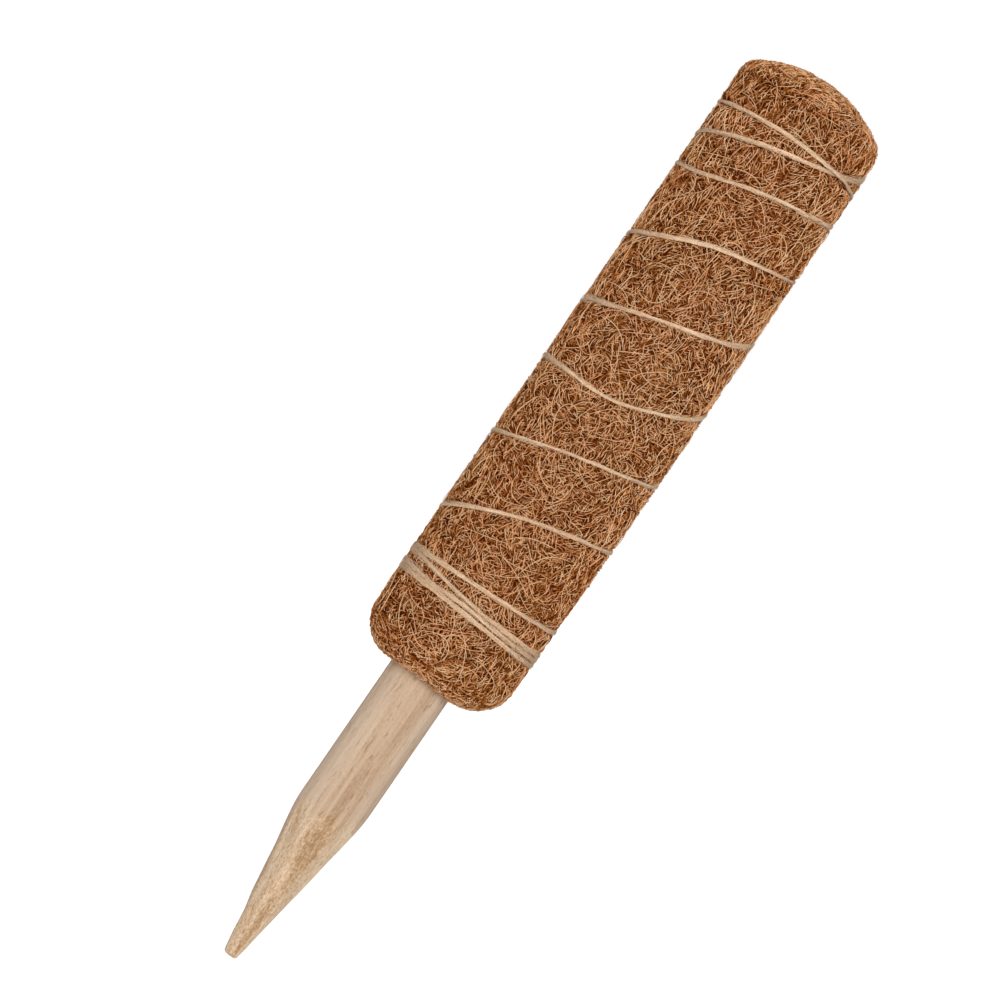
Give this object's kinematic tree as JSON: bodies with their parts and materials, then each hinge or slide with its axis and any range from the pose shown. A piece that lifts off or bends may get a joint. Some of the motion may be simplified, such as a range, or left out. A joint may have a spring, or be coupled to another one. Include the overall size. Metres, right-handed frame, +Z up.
{
  "type": "moss pole",
  "caption": "Upright moss pole for climbing plants: a round coir sleeve bound with jute twine on a pointed wooden stake that pushes into the soil of a pot.",
  "frame": {"origin": "on the pole's axis at the soil line, on the plane of the coir's foot, where the soil holds the stake", "axes": "+Z up along the pole's axis; -Y is the front that the picture shows; the coir's seam and the twine's ends are at +Y"},
  "size_m": [0.0504, 0.0504, 0.298],
  "materials": {
    "stake_wood": "sawn and hand-cut bare wood",
    "coir_core": "matted coconut fibre",
    "coir_mat": "matted coconut fibre with loose curled fibres",
    "jute_twine": "twisted jute, slightly hairy"
  },
  "bodies": {
    "root": {"wood_stake": "stake_wood", "coir_inner_roll": "coir_core", "coir_bottom_ring": "coir_core", "coir_top_pad": "coir_core", "coir_outer_wrap": "coir_mat", "twine_winding": "jute_twine"}
  },
  "joints": []
}
